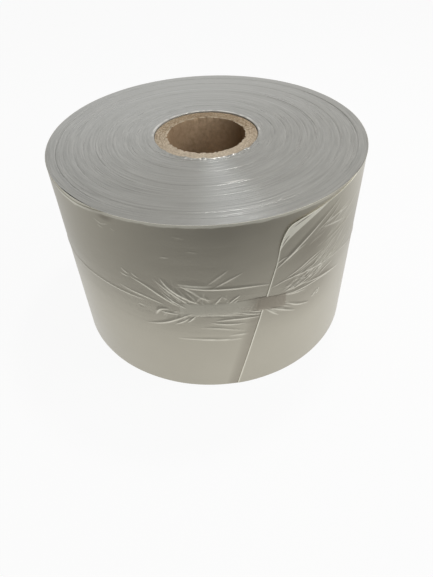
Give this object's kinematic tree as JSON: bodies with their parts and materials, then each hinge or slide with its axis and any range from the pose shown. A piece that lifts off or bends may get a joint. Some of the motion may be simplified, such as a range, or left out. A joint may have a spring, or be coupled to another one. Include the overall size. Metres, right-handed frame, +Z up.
{
  "type": "roll of plastic sheeting",
  "caption": "Wide roll of thin plastic film wound on a cardboard core, standing on its end, its loose tail held by clear tape that pulls the outer turn into folds.",
  "frame": {"origin": "on the core's axis, in the plane that the roll stands on", "axes": "+Z up along the core, -Y towards the front, where the tail of the outer turn is taped down, +X to the right seen from the front"},
  "size_m": [0.312, 0.3124, 0.203],
  "materials": {
    "film": "thin silvery grey film with a soft gloss",
    "core_board": "matt brown wound paper board",
    "clear_tape": "clear glossy adhesive tape"
  },
  "bodies": {
    "root": {"film_roll": "film", "core_tube": "core_board", "tail_tape": "clear_tape"}
  },
  "joints": []
}
